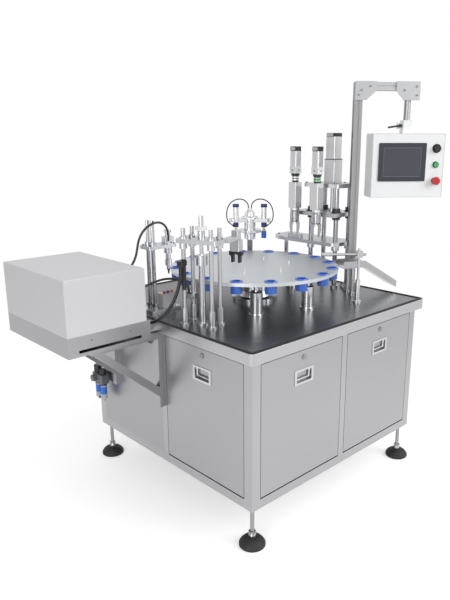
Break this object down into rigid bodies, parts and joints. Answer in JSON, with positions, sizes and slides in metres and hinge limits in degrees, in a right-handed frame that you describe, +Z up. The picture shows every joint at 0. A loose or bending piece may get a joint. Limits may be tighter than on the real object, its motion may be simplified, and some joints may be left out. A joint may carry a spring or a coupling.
{
  "type": "bottle filling and capping machine",
  "caption": "Rotary bottle filling and capping machine: indexing dial of bottle pucks on a stainless cabinet, with cap placing, transfer and capping stations and an operator panel on an arm.",
  "frame": {"origin": "on the floor, under the middle of the whole machine's box", "axes": "X along the two-door front, Y from that front to the back, Z up"},
  "size_m": [1.9035, 1.18, 1.876],
  "materials": {
    "brushed_stainless": "brushed",
    "table_stainless": "fine brushed, reflective",
    "black_rubber": "matte",
    "bright_metal": "polished",
    "satin_aluminium": "satin anodised",
    "blue_plastic": "satin",
    "light_blue_rubber": "soft matte",
    "pale_paint": "smooth powder coat",
    "black_plastic": "fine texture",
    "green_plastic": "glossy",
    "red_plastic": "glossy",
    "air_unit_mix": "cast"
  },
  "bodies": {
    "cabinet": {"foot_pads": "black_rubber", "foot_studs": "bright_metal", "frame_posts": "brushed_stainless", "frame_rails": "brushed_stainless", "cabinet_panels": "brushed_stainless", "table_top": "table_stainless", "table_edge_trim": "black_rubber", "index_drive": "pale_paint", "control_plate": "pale_paint", "dial_column": "satin_aluminium", "placer_stand": "bright_metal", "picker_stand": "satin_aluminium", "transfer_column": "bright_metal", "tower_platform": "satin_aluminium", "tower_posts": "bright_metal", "lift_actuator": "satin_aluminium", "sensor_post": "satin_aluminium", "discharge_chute": "brushed_stainless", "panel_stand": "satin_aluminium", "feeder_cover": "pale_paint", "feeder_shelf": "brushed_stainless", "air_unit": "air_unit_mix", "hose_loop": "black_rubber", "hose_arch": "black_rubber", "hose_feed": "black_rubber"},
    "dial": {"dial_hub": "bright_metal", "dial_plate": "satin_aluminium", "bottle_pucks": "blue_plastic"},
    "carriage": {"capping_carriage": "satin_aluminium", "spindle_bodies": "satin_aluminium"},
    "first_chuck": {"first_chuck": "bright_metal"},
    "first_finger_a": {"first_finger_a": "black_plastic"},
    "first_finger_b": {"first_finger_b": "black_plastic"},
    "second_chuck": {"second_chuck": "bright_metal"},
    "second_finger_a": {"second_finger_a": "black_plastic"},
    "second_finger_b": {"second_finger_b": "black_plastic"},
    "transfer": {"transfer_arm": "satin_aluminium", "arm_tube_left": "black_rubber", "arm_tube_right": "black_rubber"},
    "cups": {"transfer_cups": "light_blue_rubber"},
    "placer_head": {"placer_head": "brushed_stainless"},
    "placer_jaw_left": {"placer_jaw_left": "brushed_stainless"},
    "placer_jaw_right": {"placer_jaw_right": "brushed_stainless"},
    "picker_tool": {"picker_tool": "bright_metal"},
    "front_left_door": {"front_left_door": "brushed_stainless"},
    "front_left_bail": {"front_left_bail": "bright_metal"},
    "front_left_lock": {"front_left_lock": "bright_metal"},
    "front_right_door": {"front_right_door": "brushed_stainless"},
    "front_right_bail": {"front_right_bail": "bright_metal"},
    "front_right_lock": {"front_right_lock": "bright_metal"},
    "side_door": {"side_door": "brushed_stainless"},
    "side_bail": {"side_bail": "bright_metal"},
    "side_lock": {"side_lock": "bright_metal"},
    "panel": {"panel_box": "pale_paint", "panel_screen": "black_plastic"},
    "clamp_lever": {"clamp_lever": "black_plastic"},
    "speed_knob": {"speed_knob": "black_plastic"},
    "start_button": {"start_button": "green_plastic"},
    "stop_button": {"stop_button": "red_plastic"},
    "regulator_knob": {"regulator_knob": "black_plastic"}
  },
  "joints": [
    {"name": "dial_spin", "type": "hinge", "parent": "cabinet", "child": "dial", "pos_m": [0.078, 0, 1.014], "axis": [0, 0, 1], "continuous": true},
    {"name": "carriage_lift", "type": "slide", "parent": "cabinet", "child": "carriage", "axis": [0, 0, 1], "range_m": [-0.05, 0.055]},
    {"name": "first_chuck_spin", "type": "hinge", "parent": "carriage", "child": "first_chuck", "pos_m": [0.44677, 0.07335, 1.247], "axis": [0, 0, 1], "continuous": true},
    {"name": "first_finger_a_slide", "type": "slide", "parent": "first_chuck", "child": "first_finger_a", "axis": [-0.7193, 0.6947, 0], "range_m": [0, 0.006]},
    {"name": "first_finger_b_slide", "type": "slide", "parent": "first_chuck", "child": "first_finger_b", "axis": [0.7193, -0.6947, 0], "range_m": [0, 0.006]},
    {"name": "second_chuck_spin", "type": "hinge", "parent": "carriage", "child": "second_chuck", "pos_m": [0.44677, -0.07335, 1.247], "axis": [0, 0, 1], "continuous": true},
    {"name": "second_finger_a_slide", "type": "slide", "parent": "second_chuck", "child": "second_finger_a", "axis": [-0.7193, 0.6947, 0], "range_m": [0, 0.006]},
    {"name": "second_finger_b_slide", "type": "slide", "parent": "second_chuck", "child": "second_finger_b", "axis": [0.7193, -0.6947, 0], "range_m": [0, 0.006]},
    {"name": "transfer_swing", "type": "hinge", "parent": "cabinet", "child": "transfer", "pos_m": [0.3668, 0.3304, 1.127], "axis": [0, 0, 1], "range_deg": [-60, 60]},
    {"name": "cup_lift", "type": "slide", "parent": "transfer", "child": "cups", "axis": [0, 0, 1], "range_m": [-0.05, 0]},
    {"name": "placer_lift", "type": "slide", "parent": "cabinet", "child": "placer_head", "axis": [0, 0, 1], "range_m": [-0.045, 0.018]},
    {"name": "placer_jaw_left_slide", "type": "slide", "parent": "placer_head", "child": "placer_jaw_left", "axis": [0.342, -0.9397, 0], "range_m": [-0.003, 0.006]},
    {"name": "placer_jaw_right_slide", "type": "slide", "parent": "placer_head", "child": "placer_jaw_right", "axis": [-0.342, 0.9397, 0], "range_m": [-0.003, 0.006]},
    {"name": "picker_lift", "type": "slide", "parent": "cabinet", "child": "picker_tool", "axis": [0, 0, 1], "range_m": [-0.017, 0.026]},
    {"name": "front_left_door_tilt", "type": "hinge", "parent": "cabinet", "child": "front_left_door", "pos_m": [-0.18825, -0.551, 0.2275], "axis": [1, 0, 0], "range_deg": [0, 45]},
    {"name": "front_left_bail_swing", "type": "hinge", "parent": "front_left_door", "child": "front_left_bail", "pos_m": [-0.18825, -0.553, 0.692], "axis": [-1, 0, 0], "range_deg": [0, 90]},
    {"name": "front_left_lock_turn", "type": "hinge", "parent": "front_left_door", "child": "front_left_lock", "pos_m": [-0.18825, -0.56, 0.755], "axis": [0, -1, 0], "range_deg": [0, 90]},
    {"name": "front_right_door_tilt", "type": "hinge", "parent": "cabinet", "child": "front_right_door", "pos_m": [0.34425, -0.551, 0.2275], "axis": [1, 0, 0], "range_deg": [0, 45]},
    {"name": "front_right_bail_swing", "type": "hinge", "parent": "front_right_door", "child": "front_right_bail", "pos_m": [0.34425, -0.553, 0.692], "axis": [-1, 0, 0], "range_deg": [0, 90]},
    {"name": "front_right_lock_turn", "type": "hinge", "parent": "front_right_door", "child": "front_right_lock", "pos_m": [0.34425, -0.56, 0.755], "axis": [0, -1, 0], "range_deg": [0, 90]},
    {"name": "side_door_tilt", "type": "hinge", "parent": "cabinet", "child": "side_door", "pos_m": [-0.473, -0.26625, 0.2275], "axis": [0, -1, 0], "range_deg": [0, 45]},
    {"name": "side_bail_swing", "type": "hinge", "parent": "side_door", "child": "side_bail", "pos_m": [-0.475, -0.26625, 0.692], "axis": [0, 1, 0], "range_deg": [0, 90]},
    {"name": "side_lock_turn", "type": "hinge", "parent": "side_door", "child": "side_lock", "pos_m": [-0.482, -0.26625, 0.755], "axis": [-1, 0, 0], "range_deg": [0, 90]},
    {"name": "panel_swivel", "type": "hinge", "parent": "cabinet", "child": "panel", "pos_m": [0.77429, -0.36133, 1.633], "axis": [0, 0, 1], "range_deg": [-60, 60]},
    {"name": "clamp_lever_turn", "type": "hinge", "parent": "panel", "child": "clamp_lever", "pos_m": [0.73963, -0.34613, 1.67], "axis": [-0.6293, -0.7771, 0], "range_deg": [-25, 15]},
    {"name": "speed_knob_turn", "type": "hinge", "parent": "panel", "child": "speed_knob", "pos_m": [0.84533, -0.49606, 1.562], "axis": [-0.6293, -0.7771, 0], "range_deg": [-270, 0]},
    {"name": "start_button_press", "type": "slide", "parent": "panel", "child": "start_button", "axis": [0.6293, 0.7771, 0], "range_m": [0, 0.004], "stiffness_N_per_m": 500},
    {"name": "stop_button_press", "type": "slide", "parent": "panel", "child": "stop_button", "axis": [0.6293, 0.7771, 0], "range_m": [0, 0.005], "stiffness_N_per_m": 800},
    {"name": "regulator_turn", "type": "hinge", "parent": "cabinet", "child": "regulator_knob", "pos_m": [-0.527, 0.493, 0.486], "axis": [0, 0, 1], "range_deg": [-180, 180]}
  ],
  "couplings": [
    {"joint": "first_finger_b_slide", "follows": "first_finger_a_slide", "ratio": 1},
    {"joint": "second_finger_b_slide", "follows": "second_finger_a_slide", "ratio": 1},
    {"joint": "placer_jaw_right_slide", "follows": "placer_jaw_left_slide", "ratio": 1}
  ]
}
